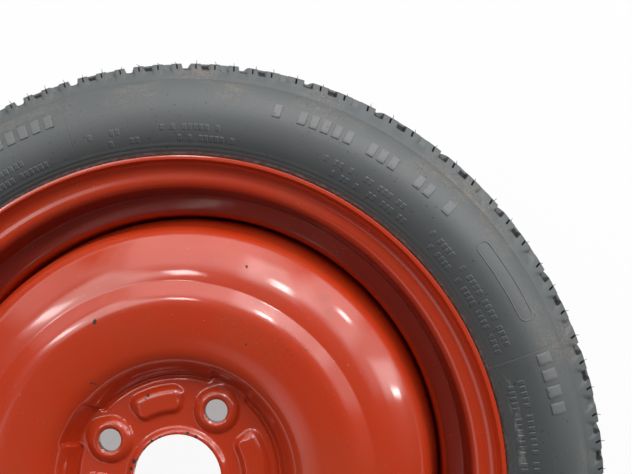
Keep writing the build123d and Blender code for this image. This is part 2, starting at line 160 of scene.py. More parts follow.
class Finish:
    """A material whose nodes are added by expressions."""

    def __init__(self, name, **constants):
        self.material = bpy.data.materials.new(name)
        self.material.use_nodes = True
        self.tree = self.material.node_tree
        self.shader = self.tree.nodes["Principled BSDF"]
        for socket, value in constants.items():
            self.shader.inputs[socket.replace("_", " ")].default_value = value
        self.place = self.node("ShaderNodeTexCoord", {}, [], "Object")
        axes = self.tree.nodes.new("ShaderNodeSeparateXYZ")
        self.tree.links.new(self.place.socket, axes.inputs[0])
        self.x, self.y, self.z = [Value(self, axes.outputs[i]) for i in range(3)]
        self.radius = (self.x * self.x + self.y * self.y).math("SQRT")
        self.around = self.y.math("ARCTAN2", self.x)

    def away(self, x, y):
        """Distance in plan from a place given in millimetres."""
        off_x, off_y = self.x - x * mm, self.y - y * mm
        return (off_x * off_x + off_y * off_y).math("SQRT")

    def node(self, kind, settings, inputs, output=0):
        """Adds a node, its settings first, then its inputs by number or by name, and gives one output."""
        made = self.tree.nodes.new(kind)
        for key, value in settings.items():
            setattr(made, key, value)
        named = inputs.items() if isinstance(inputs, dict) else enumerate(inputs)
        for key, value in named:
            if isinstance(value, Value):
                self.tree.links.new(value.socket, made.inputs[key])
            else:
                made.inputs[key].default_value = value
        return Value(self, made.outputs[output])

    def noise(self, size, detail=3.0, where=None):
        """Cloudy noise from 0 to 1 with patches of about a size in metres."""
        inputs = {"Vector": where or self.place, "Scale": 1 / size, "Detail": detail}
        return self.node("ShaderNodeTexNoise", {}, inputs)

    def step(self, value, low, high):
        """0 below low, 1 above high, smooth between. Falls instead where low is above high."""
        settings = {"interpolation_type": "SMOOTHSTEP"}
        inputs = {"Value": value, "From Min": min(low, high), "From Max": max(low, high)}
        rise = self.node("ShaderNodeMapRange", settings, inputs)
        return rise if low < high else 1 - rise

    def mix(self, factor, first, second):
        """Colour between two colours."""
        settings = {"data_type": "RGBA"}
        return self.node("ShaderNodeMix", settings, {0: factor, 6: first, 7: second}, 2)

    def bump(self, height, depth, strength=1.0, under=None):
        """Surface relief from a height of 0 to 1, with its depth in metres."""
        inputs = {"Height": height, "Distance": depth, "Strength": strength}
        if under:
            inputs["Normal"] = under
        return self.node("ShaderNodeBump", {}, inputs)

    def feed(self, **links):
        for socket, value in links.items():
            self.tree.links.new(value.socket, self.shader.inputs[socket.replace("_", " ")])
        return self.material


def wear(piece, material):
    """Gives a piece one material."""
    piece.data.materials.clear()
    piece.data.materials.append(material)


print("shader helper ready")

# %% [markdown]
# ## Wheel paint
# The disc and rim are dipped and stoved in one glossy orange-red. Up close it has a fine orange peel, dull
# smudges and rubbed patches, small pale specks, and chips down to dark metal at the bore and on the raised
# swages. The walls in the rim's well are painted darker, as painted shade. The chips are round spots with a
# noisy edge, so a place and a size are all that each needs.

# %% Paint colours and chips
PAINT = (0.53, 0.036, 0.005, 1)
PAINT_WORN = (0.48, 0.043, 0.009, 1)
# painted shade: the colour of the walls in the rim's well
PAINT_WELL_SHADE = (0.11, 0.008, 0.005, 1)
SMUDGE = (0.40, 0.13, 0.09, 1)
RUST = (0.10, 0.030, 0.014, 1)
BARE_METAL = (0.040, 0.034, 0.032, 1)
PALE_SPECK = (0.62, 0.42, 0.33, 1)
# where the photo shows chips: x, y and radius in millimetres on the wheel
CHIPS = [(-19.3, 52.7, 1.2), (-20.6, 51.0, 0.8), (-49.4, 62.0, 1.0), (-51.4, 62.4, 0.8)]
CHIPS += [(-48.8, 100.5, 1.5), (44.9, 135.2, 0.9)]
CHIPS += [(-11.4, 26.4, 1.1), (-16.5, 24.2, 1.0), (6.0, 29.4, 1.0), (11.8, 26.8, 1.3)]
CHIPS += [(-27.8, 11.4, 1.6), (-29.7, 6.4, 1.4)]
CHIPS += [(10.9, 61.6, 0.7), (45.5, 87.1, 0.8)]
# a patch of small dark freckles, and dull smudges as x, y and radius, in millimetres on the wheel
SPECK_PATCH = (71, 86)
SMUDGES = [(94, 113, 9), (99, 107, 6), (118, 92, 7)]
# radii in metres at which the painted shade in the rim's well starts, is full, thins and ends
WELL_SHADE_EDGES = (0.1735, 0.176, 0.187, 0.191)


def chip_mask(finish, ragged):
    """1 on the chips, with edges that follow a noise."""
    chips = 0
    for x, y, size in CHIPS:
        away = finish.away(x, y) + (ragged - 0.5) * 3.0 * mm
        chips = finish.step(away, size * mm, 0.7 * size * mm) + chips
    return chips.math("MINIMUM", 1.0)


def wheel_paint():
    finish = Finish("wheel_paint", Coat_Roughness=0.1, Coat_IOR=1.62, Specular_IOR_Level=0.3)
    clouds = finish.noise(0.05, 5)
    fine = finish.noise(0.0035, 4)
    ragged = finish.noise(0.0022, 3)
    dust = finish.step(finish.noise(0.0011, 2), 0.735, 0.765) * finish.step(finish.noise(0.03, 2), 0.4, 0.55)
    freckles = finish.step(finish.away(*SPECK_PATCH), 22 * mm, 6 * mm)
    freckles = freckles * finish.step(finish.noise(0.0014, 2), 0.62, 0.68)
    smudge = sum(finish.step(finish.away(x, y), size * mm, 0.3 * size * mm) for x, y, size in SMUDGES)
    smudge = smudge * finish.step(finish.noise(0.006, 5), 0.4, 0.62)
    # painted shade: the walls in the rim's well are painted darker
    inner, inner_full, outer_full, outer = WELL_SHADE_EDGES
    well = finish.step(finish.radius, inner, inner_full) * finish.step(finish.radius, outer, outer_full)
    far, near = (bolt_hole + 0.5) * mm, (bolt_hole + 0.1) * mm
    holes = sum(finish.step(finish.away(x, y), far, near) for x, y in bolt_places)
    edge = finish.step(finish.radius, (bore_radius + 1.3) * mm, (bore_radius + 0.1) * mm)
    bare = (chip_mask(finish, ragged) + edge * finish.step(ragged, 0.52, 0.6)).math("MINIMUM", 1.0)
    worn = finish.step(clouds, 0.42, 0.7)
    colour = finish.mix(worn * 0.7, PAINT, PAINT_WORN)
    colour = finish.mix(smudge * 0.45, colour, SMUDGE)
    colour = finish.mix(well * 0.75, colour, PAINT_WELL_SHADE)
    colour = finish.mix(holes * finish.step(clouds, 0.35, 0.5), colour, RUST)
    colour = finish.mix(dust * 0.8, colour, PALE_SPECK)
    colour = finish.mix(freckles * 0.75, colour, BARE_METAL)
    colour = finish.mix(bare, colour, BARE_METAL)
    rough = 0.34 + worn * 0.1 + fine * 0.06 + bare * 0.2 + dust * 0.2 + smudge * 0.1
    peel = finish.bump(fine, 0.00003, 0.35)
    relief = finish.bump(1 - bare, 0.00012, 0.8, peel)
    coat = (1 - bare) * (0.95 - worn * 0.25 - smudge * 0.3)
    return finish.feed(Base_Color=colour, Roughness=rough, Coat_Weight=coat, Normal=relief)


paint = wheel_paint()
print("paint with", len(CHIPS), "chips")

# %% [markdown]
# ## Tyre rubber
# Unused rubber is a dull blue-grey black with a waxy bloom; towards the rim it is painted darker, as shade.
# Beige dust lies on the shoulder and in the fine lines. Rows of small dashes and the mould's seams are too
# low to model, so a bump draws them, and the mould's lines are painted dark, as shade in their grooves. The
# tread's finish is the same rubber, with deep slots painted dark inside as shade, and thin knife slits
# between the slots. Slits are too fine for the mesh, so they are drawn in the tread's own UV map, painted
# black as shade, where U counts slots and V is the way up the shoulder.

# %% Rubber
# RUBBER also serves as painted shade on the sidewall towards the rim
RUBBER = (0.009, 0.0125, 0.014, 1)
BLOOM = (0.018, 0.029, 0.033, 1)
DUST = (0.20, 0.155, 0.11, 1)
SCUFF = (0.16, 0.16, 0.15, 1)
RUBBED = (0.12, 0.13, 0.13, 1)
BLACK = (0.006, 0.007, 0.008, 1)
# the dusty line by the rim, and a scuffed band with its direction in radians
DUSTY_LINE = 0.2093
SCUFF_RADIUS, SCUFF_AT = 0.218, 0.175
# lines of the mould: radii in millimetres, and directions in degrees
PARTING_LINES = (259.6, 261.0)
MOULD_SEAMS = (108, 66, 20, -24, -70, -115, -160)
# rows of dashes: radius in metres and dashes to a radian
DASH_ROWS = [(0.219, 64.0), (0.226, 62.0)]
# knife slits: half a slit as a share of a slot's pitch, and the way up the shoulder in metres
SLIT_HALF_SHARE = 0.03
SLIT_SPAN = (0.0098, 0.0152)
# where a deep slot is painted dark as shade: the way up the shoulder in metres, and shares of a slot's pitch
SLOT_SHADE_SPAN = (0.0103, 0.0109, 0.0194, 0.0200)
SLOT_SHADE_SHARES = (0.21, 0.17)


def tyre_rubber(name, slits=False, rubbed=0.0):
    finish = Finish(name, IOR=2.1)
    radius, around = finish.radius, finish.around
    broad = finish.noise(0.11, 3)
    smear = finish.noise(0.018, 5)
    grain = finish.noise(0.0012, 3)
    chart = finish.node("ShaderNodeCombineXYZ", {}, [around * 0.09, radius, finish.z])
    # the bloom's clouds are the rubber's own; towards the rim the rubber is painted darker, as painted shade
    outward = finish.step(radius, 0.207, 0.240)
    bloom_and_rim_shade = outward * (0.72 + (broad - 0.5) * 0.9 + (smear - 0.5) * 0.5)
    colour = finish.mix(bloom_and_rim_shade.math("MINIMUM", 1.0).math("MAXIMUM", 0.0), RUBBER, BLOOM)
    colour = finish.mix(rubbed * (0.4 + smear), colour, RUBBED)
    # beige dust: fine specks in streaks that run round the tyre, most of them on the shoulder and by the rim
    shoulder = finish.step(radius, 0.236, 0.259) * finish.step(radius, 0.279, 0.266)
    specks = finish.step(finish.noise(0.0013, 4), 0.5, 0.62)
    streaks = finish.step(finish.noise(0.004, 4, chart), 0.48, 0.66)
    patches = finish.step(finish.noise(0.035, 4), 0.44, 0.62)
    dusty = (specks * patches * 0.8 + streaks * patches * 0.45) * (shoulder * 0.85 + 0.1)
    bead = finish.step(abs(radius - DUSTY_LINE), 0.0022, 0.0004)
    bead = bead * finish.step(finish.noise(0.0012, 3, chart), 0.45, 0.6)
    colour = finish.mix(dusty * 0.7 + bead * 0.45, colour, DUST)
    scuff = finish.step(abs(around - SCUFF_AT), 0.15, 0.10)
    scuff = scuff * finish.step(abs(radius - SCUFF_RADIUS), 0.0034, 0.0014)
    colour = finish.mix(scuff * streaks * 0.8, colour, SCUFF)
    pits = finish.step(finish.noise(0.0018, 1), 0.725, 0.75)
    colour = finish.mix(pits * 0.75, colour, BLACK)
    # the mould's parting lines and seams are fine grooves: a bump draws them, and they are painted dark as
    # shade
    line = sum(finish.step(abs(radius - at * mm), 0.42 * mm, 0.18 * mm) for at in PARTING_LINES)
    line = line * finish.step(finish.z, -0.06, -0.04)
    seams = sum(finish.step(abs(around - radians(at)), 0.0016, 0.0006) for at in MOULD_SEAMS)
    colour = finish.mix(line * 0.7 + seams * 0.4, colour, BLACK)
    # rows of small raised dashes by the rim
    dashes = 0
    for row, cells in DASH_ROWS:
        cell = around * cells
        one_way = {"noise_dimensions": "1D"}
        kept = finish.node("ShaderNodeTexWhiteNoise", one_way, {"W": cell.math("FLOOR")})
        groups = finish.node("ShaderNodeTexWhiteNoise", one_way, {"W": (cell / 6).math("FLOOR") + 0.5})
        dash = finish.step(abs(cell.math("FRACT") - 0.5), 0.4, 0.3)
        dash = dash * finish.step(kept, 0.2, 0.25) * finish.step(groups, 0.3, 0.35)
        dashes = dash * finish.step(abs(radius - row), 0.0021, 0.0015) + dashes
    colour = finish.mix(dashes * 0.35, colour, BLOOM)
    height = grain * 0.4 + smear * 0.4 - line * 2.0 - seams * 1.5 + dashes * 4.0
    dark = pits * 0.6
    if slits:
        unrolled = finish.node("ShaderNodeUVMap", {"uv_map": "tread"}, [])
        across = finish.node("ShaderNodeSeparateXYZ", {}, [unrolled], 0)
        along = finish.node("ShaderNodeSeparateXYZ", {}, [unrolled], 1)
        off = abs(across.math("FRACT") - 0.5)
        # painted shade: the knife slits are painted black, and a bump cuts them in
        slit = finish.step(off, 0.5 - 1.5 * SLIT_HALF_SHARE, 0.5 - SLIT_HALF_SHARE)
        slit = slit * finish.step(along, SLIT_SPAN[0], SLIT_SPAN[0] + 0.0005)
        slit = slit * finish.step(along, SLIT_SPAN[1], SLIT_SPAN[1] - 0.0005)
        # painted shade: the two deeper slots of every three are painted dark inside, near the edge of the
        # tread
        low, low_full, high_full, high = SLOT_SHADE_SPAN
        slot_shade = finish.step(off, *SLOT_SHADE_SHARES) * finish.step((across / 3).math("FRACT"), 0.672, 0.662)
        slot_shade = slot_shade * finish.step(along, low, low_full) * finish.step(along, high, high_full)
        # painted shade in the slits and slots: black colour, and black metal so that they mirror nothing
        dark = (slit + slot_shade * 0.8).math("MINIMUM", 1.0)
        colour = finish.mix(dark, colour, BLACK)
        height = height - slit * 4.0
    rough = 0.46 + outward * 0.12 + dusty * 0.2
    relief = finish.bump(height, 0.00008, 0.6)
    return finish.feed(Base_Color=colour, Roughness=rough, Metallic=dark, Normal=relief)


sidewall_rubber = tyre_rubber("sidewall_rubber")
tread_rubber = tyre_rubber("tread_rubber", slits=True)
raised_rubber = tyre_rubber("raised_rubber", rubbed=0.55)
print("rubber for the sidewall, the tread and raised marks")

# %% [markdown]
# ## Small finishes
# The valve is black moulded rubber round a brass stem, with a steel spring in its core and a black plastic
# cap. Each has its own grain.


# %% Valve finishes
def grained(name, dark, light, size, rough, depth, **constants):
    """A finish of two tones with a fine grain."""
    finish = Finish(name, **constants)
    grain = finish.noise(size, 4)
    broad = finish.noise(size * 12, 2)
    colour = finish.mix(grain * 0.5 + broad * 0.5, dark, light)
    relief = finish.bump(grain, depth, 0.5)
    return finish.feed(Base_Color=colour, Roughness=rough + grain * 0.15, Normal=relief)


SOFT_BLACK = ((0.014, 0.014, 0.015, 1), (0.04, 0.04, 0.042, 1))
CAP_BLACK = ((0.012, 0.012, 0.013, 1), (0.035, 0.035, 0.037, 1))
BRASS = ((0.42, 0.27, 0.08, 1), (0.66, 0.47, 0.2, 1))
STEEL = ((0.35, 0.35, 0.36, 1), (0.6, 0.6, 0.61, 1))
valve_rubber = grained("valve_rubber", *SOFT_BLACK, 0.0007, 0.5, 0.00004)
brass = grained("stem_brass", *BRASS, 0.0005, 0.25, 0.00001, Metallic=1.0)
cap_plastic = grained("cap_plastic", *CAP_BLACK, 0.0004, 0.38, 0.00002)
spring_steel = grained("spring_steel", *STEEL, 0.0004, 0.28, 0.00001, Metallic=1.0)
print("valve finishes ready")

# %% [markdown]
# ## Turned forms
# Rim, disc and tyre are all forms of revolution. A turned piece starts as one vertex, is extruded along
# its section point by point, as one would click it, and is then spun about the axle. Corners of a section
# are rounded by an arc.


# %% Section and spin helpers
def alone():
    """Leaves edit mode with nothing selected."""
    if bpy.context.object and bpy.context.object.mode != "OBJECT":
        bpy.ops.object.mode_set(mode="OBJECT")
    bpy.ops.object.select_all(action="DESELECT")


def rounded(corners, step=7.0):
    """Line through corners of (radius, height, rounding), each rounded by an arc of short chords."""
    spots = [complex(r, z) for r, z, _ in corners]
    line = [spots[0]]
    for before, corner, after, (_, _, radius) in zip(spots, spots[1:], spots[2:], corners[1:]):
        way_in = (corner - before) / abs(corner - before)
        turn = phase((after - corner) / way_in)
        if not radius:
            line.append(corner)
            continue
        to_centre = 1j * way_in * copysign(radius, turn)
        start = corner - way_in * radius * tan(abs(turn) / 2)
        count = max(2, round(abs(turn) / radians(step)))
        line += [start + to_centre - to_centre * rect(1, turn * i / count) for i in range(count + 1)]
    return line + [spots[-1]]


def finely(line, longest):
    """The same line with long runs divided, so that no run is longer than a length."""
    points = [line[0]]
    for a, b in zip(line, line[1:]):
        count = max(1, round(abs(b - a) / longest))
        points += [a + (b - a) * i / count for i in range(1, count + 1)]
    return points


def turned(name, line, steps, closed=False, angle=tau):
    """Extrudes a vertex along a section of radius and height and spins it round the axle."""
    alone()
    bpy.ops.mesh.primitive_plane_add(size=mm)
    piece = bpy.context.object
    piece.name = name
    places = [Vector((spot.real, 0, spot.imag)) * mm for spot in line]
    bpy.ops.object.mode_set(mode="EDIT")
    bpy.ops.mesh.merge(type="CENTER")
    bpy.ops.transform.translate(value=places[0])
    for a, b in zip(places, places[1:]):
        bpy.ops.mesh.extrude_vertices_move(TRANSFORM_OT_translate={"value": b - a})
    bpy.ops.mesh.select_all(action="SELECT")
    if closed:
        bpy.ops.mesh.edge_face_add()
        bpy.ops.mesh.delete(type="ONLY_FACE")
        bpy.ops.mesh.select_all(action="SELECT")
    bpy.ops.mesh.spin(steps=steps, angle=angle, center=(0, 0, 0), axis=(0, 0, 1))
    bpy.ops.mesh.select_all(action="SELECT")
    bpy.ops.mesh.remove_doubles(threshold=1e-6)
    bpy.ops.mesh.normals_make_consistent(inside=False)
    bpy.ops.object.mode_set(mode="OBJECT")
    print(name, len(piece.data.vertices), "points,", len(piece.data.polygons), "faces")
    return piece


def face_up(piece):
    """Turns an open sheet's faces so that its street side is the outside."""
    if sum(face.normal.z * face.area for face in piece.data.polygons) < 0:
        bpy.ops.object.mode_set(mode="EDIT")
        bpy.ops.mesh.select_all(action="SELECT")
        bpy.ops.mesh.flip_normals()
        bpy.ops.object.mode_set(mode="OBJECT")


def apply(piece, kind, **settings):
    """Adds a modifier with its settings and applies it."""
    bpy.context.view_layer.objects.active = piece
    modifier = piece.modifiers.new(kind.title(), kind)
    for key, value in settings.items():
        setattr(modifier, key, value)
    bpy.ops.object.modifier_apply(modifier=modifier.name)


def smooth(piece, angle=32):
    """Smooth shading that keeps edges sharper than an angle."""
    alone()
    piece.select_set(True)
    bpy.context.view_layer.objects.active = piece
    bpy.ops.object.shade_smooth_by_angle(angle=radians(angle))


print("section and spin helpers ready")

# %% [markdown]
# ## Rim
# The rim is a strip of sheet rolled to its section: two curled flanges, the tapered seats for the tyre's
# beads, and the well. It is spun as the thin line of its tyre side and then given the sheet's thickness
# by Solidify.

# %% Rim
RIM_SHEET = 2.6
SEAT_RADIUS = flange_radius - 17.3
SEAT_TAPER = tan(radians(5))
SEAT_END = SEAT_RADIUS - 19.8 * SEAT_TAPER
WELL_RADIUS = well_inside + RIM_SHEET
HALF_WIDTH = 50.8
CURL = 11.0
LIP = flange_top - middle

flange_corner = HALF_WIDTH - 0.8
street = [(WELL_RADIUS, 24, 5), (SEAT_END, 31, 4), (SEAT_RADIUS, HALF_WIDTH, 4)]
street += [(flange_radius, flange_corner, CURL), (flange_radius, LIP, 0)]
car = [(flange_radius, -LIP, 0), (flange_radius, -flange_corner, CURL)]
car += [(SEAT_RADIUS, -HALF_WIDTH, 4), (SEAT_END, -31, 4), (WELL_RADIUS, -27, 5)]
rim_line = rounded([(r, middle + z, rounding) for r, z, rounding in car + street])
rim = turned("rolled_rim", finely(rim_line, 6), 300)
facing = [face.normal.dot(Vector((face.center.x, face.center.y, 0))) for face in rim.data.polygons]
inward = -1 if sum(facing) > 0 else 1
apply(rim, "SOLIDIFY", thickness=RIM_SHEET * mm, offset=inward, use_even_offset=True)
apply(rim, "BEVEL", width=0.9 * mm, segments=3, limit_method="ANGLE", angle_limit=radians(60))
smooth(rim, 50)
wear(rim, paint)
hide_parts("rim")
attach(rim, "wheel")

# %% [markdown]
# ## Disc
# The disc is one pressing: a skirt that fits the well, a stepped dome, and a hub pad sunk below it. Its
# line is spun first. The hub's bosses, kidney swages, bays and the trough round the pad aren't round, so
# the spun points are then moved up or out by functions of their place, as the press does to the flat
# sheet.

# %% Disc section
DISC_SHEET = 3.6
LEAN, FALL, TOP = [tan(radians(angle)) for angle in (14, 40, 6)]
LEDGE = (well_inside - 46.2, 23.3)
CREST = (LEDGE[0] - 11.3, 28.4)
INNER = (77.0, CREST[1] - 4.8)
CREASE_AT = (70.0, 12.1)
PAD_EDGE = 66.0
BROW_RUN = 17.6
foot = middle + 2.2 + 45 * tan(radians(7))
brow = (LEDGE[0] + BROW_RUN, LEDGE[1] - BROW_RUN * TOP)
reach = (foot + well_inside / LEAN - brow[1] - brow[0] * FALL) / (1 / LEAN - FALL)
shoulder = (reach, brow[1] - (reach - brow[0]) * FALL)

dome = [(well_inside, skirt_end, 0), (well_inside, foot, 45), (*shoulder, 14), (*brow, 54)]
crown = [(*LEDGE, 5), (*CREST, 24), (95, CREST[1] - 0.9, 115), (*INNER, 18)]
hub = [(*CREASE_AT, 2), (PAD_EDGE, DISC_SHEET, 1.5), (bore_radius, DISC_SHEET, 0)]
disc_line = rounded(dome + crown + hub, 4.0)
coarse = [spot for spot in disc_line if spot.real > INNER[0]]
fine = [spot for spot in disc_line if spot.real <= INNER[0]]
disc = turned("pressed_disc", finely(coarse, 5) + finely(fine, 0.95), 352)
face_up(disc)

# %% Disc swages
BOSS_FOOT, BOSS_TOP, BOSS_HEIGHT = 14.9, 8.6, 4.2
BOSS_DISH = 1.3
TROUGH_DEPTH = 1.7
KIDNEY_MIDDLE, KIDNEY_HALF, KIDNEY_CORNER = 50.4, (9.6, 17.2), 7.0
KIDNEY_HEIGHT = 3.9
COLLAR_FOOT, COLLAR_TOP, COLLAR_HEIGHT = 33.6, 29.6, 2.6
BAY_DEPTH = 2.4
BAY_HALF = radians(10.5)


def ramp(value, low, high):
    """Smooth step from 0 at low to 1 at high, for arrays."""
    share = np.clip((value - low) / (high - low), 0, 1)
    return share * share * (3 - 2 * share)


def from_nearest(angle, first, step):
    """Angle from the nearest of equally spaced directions."""
    return (angle - first + step / 2) % step - step / 2


points = np.array([vertex.co for vertex in disc.data.vertices]) / mm
radius = np.hypot(points[:, 0], points[:, 1])
angle = np.arctan2(points[:, 1], points[:, 0])
quarter = tau / 4
to_bolt = from_nearest(angle, radians(BOLT_FIRST), quarter)
to_kidney = from_nearest(angle, radians(BOLT_FIRST) + quarter / 2, quarter)

from_boss = np.hypot(radius * np.cos(to_bolt) - bolt_circle, radius * np.sin(to_bolt))
up_boss = np.clip((BOSS_FOOT - from_boss) / (BOSS_FOOT - BOSS_TOP), 0, 1)
boss_lift = BOSS_HEIGHT * (1 - (1 - up_boss) ** 2) ** 0.85
boss_lift = boss_lift - BOSS_DISH * ramp(from_boss, BOSS_TOP + 0.6, bolt_hole)
off_in = radius - KIDNEY_MIDDLE
past_side = np.clip(np.abs(off_in) - KIDNEY_HALF[0] + KIDNEY_CORNER, 0, None)
past_end = np.clip(np.abs(to_kidney) * KIDNEY_MIDDLE - KIDNEY_HALF[1] + KIDNEY_CORNER, 0, None)
outer_side = ramp(off_in, -3, 3)
up_kidney = np.clip((KIDNEY_CORNER - np.hypot(past_side, past_end)) / (4.0 + 2.8 * outer_side), 0, 1)
crisp, domed = up_kidney**2 * (3 - 2 * up_kidney), 1 - (1 - up_kidney) ** 2
kidney_lift = KIDNEY_HEIGHT * (crisp + (domed - crisp) * outer_side)
collar_lift = COLLAR_HEIGHT * ramp(radius, COLLAR_FOOT, COLLAR_TOP)
between_bays = ramp(np.abs(to_bolt), BAY_HALF, BAY_HALF + radians(1.6))
trough = -TROUGH_DEPTH * ramp(radius, 63.2, 66.0) * ramp(radius, 72, 67) * between_bays
lift = np.where(radius < PAD_EDGE + 6, boss_lift + kidney_lift + collar_lift + trough, 0)

wall = ramp(radius, 62, PAD_EDGE) * ramp(radius, INNER[0], CREASE_AT[0])
push = BAY_DEPTH * wall * (1 - between_bays)
shift = np.stack([push * np.cos(angle), push * np.sin(angle), lift], axis=1)
moved = points + shift
disc.data.vertices.foreach_set("co", (moved * mm).ravel())
disc.data.update()
print("hub raised by up to", round(float(lift.max()), 2), "mm")

# %% [markdown]
# The four bolt holes are drilled through the sheet once it has its thickness. Each drill is a cylinder on
# its bolt direction, joined to the others so that one Boolean cuts all four.

# %% Disc thickness and bolt holes
apply(disc, "SOLIDIFY", thickness=DISC_SHEET * mm, offset=-1, use_even_offset=True)


def drills(places, size, length):
    """One object of upright cylinders to cut holes with."""
    alone()
    made = []
    for x, y in places:
        shape = {"vertices": 48, "radius": size * mm, "depth": length * mm}
        bpy.ops.mesh.primitive_cylinder_add(location=(x * mm, y * mm, 0), **shape)
        made.append(bpy.context.object)
    for drill in made:
        drill.select_set(True)
    bpy.context.view_layer.objects.active = made[0]
    bpy.ops.object.join()
    return made[0]


drill = drills(bolt_places, bolt_hole, 60)
apply(disc, "BOOLEAN", operation="DIFFERENCE", object=drill, solver="EXACT")
bpy.data.objects.remove(drill)
smooth(disc, 40)
wear(disc, paint)
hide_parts("wheel_disc")
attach(disc, "wheel")
print("disc", len(disc.data.polygons), "faces")

# %% [markdown]
# ## Tyre casing
# The tyre is one moulding, made here as two rings that meet at the mould's parting line. The casing ring
# has the beads, the sidewalls and the liner. The fine ribs by the rim are points of its section.

# %% Casing
PARTING = (261.5, 48.0)
WIDEST = (234.0, 62.5)
CUSHION = (208.3, 57.0)
SIDE_RIBS = (209.4, 211.6, 214.2)
SIDE_RIB_HALF = 0.45
SIDE_RIB_LIFT = 0.5


def arc_through(start, end, tangent, count):
    """Points of the arc that leaves start along a tangent and reaches end, without start."""
    way = complex(*end) - complex(*start)
    turn = 2 * phase(way / complex(*tangent))
    half = complex(*start) + way / 2 + 1j * way / 2 / tan(turn / 2)
    return [half + (complex(*start) - half) * rect(1, turn * i / count) for i in range(1, count + 1)]


upper = arc_through(WIDEST, PARTING, (1, 0), 14)
lower = arc_through(WIDEST, CUSHION, (-1, 0), 14)


def rib(spot):
    """Fine moulded ribs near the rim, as a lift of the sidewall."""
    off = min(abs(spot.real - centre) for centre in SIDE_RIBS)
    return spot + 1j * max(0.0, 1 - off / SIDE_RIB_HALF) * SIDE_RIB_LIFT


sidewall = [*reversed(upper), complex(*WIDEST), *lower]
sidewall = [rib(spot) for spot in finely(sidewall, 0.9) if spot.real < PARTING[0]]
bead = [(202.1, HALF_WIDTH), (SEAT_RADIUS + 4.5, HALF_WIDTH)]
bead += [(SEAT_RADIUS - 4.5 * SEAT_TAPER, 46.3), (SEAT_RADIUS - 17 * SEAT_TAPER, 33.8)]
liner = [(207.4, 47.5), (234, 56), (255, 41.5), (256.5, 25)]
half = [complex(PARTING[0] - 3, PARTING[1] - 3), complex(*PARTING), *sidewall]
half += [complex(*spot) for spot in bead + liner]
whole = half + [spot.conjugate() for spot in reversed(half)]
casing_line = [spot + 1j * middle for spot in whole]
casing = turned("tyre_casing", casing_line, 300, closed=True)
smooth(casing, 50)
wear(casing, sidewall_rubber)
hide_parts("tyre")
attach(casing, "wheel")

# %% [markdown]
# ## Sidewall marks
# A sidewall carries raised marks. Here they are plain bars in groups and one bare frame with round ends.
# Each bar is a cube laid on a flat chart, along the tyre and up its wall. Bevelled together, the bars are
# then wrapped onto the casing's section by moving their points.

# %% Sidewall marks
MARK_RADIUS = 245.0
MARK_HEIGHT = 0.55
# where each group starts in degrees, how many bars it has, and how many degrees a bar and its gap take
MARK_GROUPS = [(75.6, 1, 1.9), (71.6, 5, 1.9), (60.0, 3, 1.9), (51.4, 2, 1.9)]
MARK_GROUPS += [(45.6, 1, 2.1), (119.6, 5, 2.1), (19.4, 4, 2.5)]
MARK_SHARE = 0.66
MARK_TALL = 9.4
FRAME_RADIUS, FRAME_WIRE = 4.6, 0.45
FRAME_SPAN = (38.0, 24.6)


def flat_bar(start, width):
    """A bar on the flat chart, its lower half below the rubber's skin."""
    middle_x = -radians(start - width / 2) * MARK_RADIUS
    bpy.ops.mesh.primitive_cube_add(size=mm, location=(middle_x * mm, 0, 0))
    bar = bpy.context.object
    bpy.ops.transform.resize(value=(radians(width) * MARK_RADIUS, MARK_TALL, 2 * MARK_HEIGHT))
    return bar


def flat_frame(start, end):
    """A frame with round ends: a ring whose two halves are drawn apart."""
    half_run = radians(start - end) * MARK_RADIUS / 2 - FRAME_RADIUS
    shape = {"major_segments": 40, "minor_segments": 8, "minor_radius": FRAME_WIRE * mm}
    bpy.ops.mesh.primitive_torus_add(major_radius=FRAME_RADIUS * mm, **shape)
    ring = bpy.context.object
    for vertex in ring.data.vertices:
        vertex.co.x += copysign(half_run, vertex.co.x) * mm - radians(start + end) / 2 * MARK_RADIUS * mm
    return ring


alone()
bars = []
for start, count, pitch in MARK_GROUPS:
    bars += [flat_bar(start - i * pitch, MARK_SHARE * pitch) for i in range(count)]
bars.append(flat_frame(*FRAME_SPAN))
for bar in bars:
    bar.select_set(True)
marks = bars[0]
bpy.context.view_layer.objects.active = marks
bpy.ops.object.join()
bpy.ops.object.transform_apply()
marks.name = "sidewall_marks"
bpy.ops.object.mode_set(mode="EDIT")
bpy.ops.mesh.select_all(action="SELECT")
bpy.ops.mesh.subdivide(number_cuts=3)
bpy.ops.object.mode_set(mode="OBJECT")
apply(marks, "BEVEL", width=0.25 * mm, segments=2, limit_method="ANGLE", angle_limit=radians(60))
spots = np.array([vertex.co for vertex in marks.data.vertices]) / mm
wall_line = np.array([(spot.real, spot.imag) for spot in sidewall if spot.real > WIDEST[0]][::-1])
wall_radius, wall_angle = MARK_RADIUS + spots[:, 1], -spots[:, 0] / MARK_RADIUS
wall_height = middle + np.interp(wall_radius, wall_line[:, 0], wall_line[:, 1]) + spots[:, 2]
wrapped = np.stack([wall_radius * np.cos(wall_angle), wall_radius * np.sin(wall_angle), wall_height], axis=1)
marks.data.vertices.foreach_set("co", (wrapped * mm).ravel())
marks.data.update()
smooth(marks, 40)
wear(marks, raised_rubber)
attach(marks, "wheel")
print(len(bars), "marks", len(marks.data.polygons), "faces")

# %% [markdown]
# ## Tread
# The tread ring has two grooves and a row of slots on each shoulder. One slot's width of it is spun, and
# an Array repeats it round the tyre. The columns are then turned to their pitch: long and short pitches
# alternate round the tyre so that it hums less. Below each slot the shoulder has a shallow arched facet.

# %% Tread section
PITCH_RUNS = [(5, 8.19), (7, 10.93), (6, 8.19), (7, 10.93), (5, 8.19), (7, 10.93)]
PITCH_START = 77.6
COLUMNS = 16
EDGE_HALF = 39.0
CROWN = 190.0
GROOVE = (11.5, 16.5, 5.5)


def crown_radius(height):
    return tyre_radius - CROWN + sqrt(CROWN**2 - height**2)


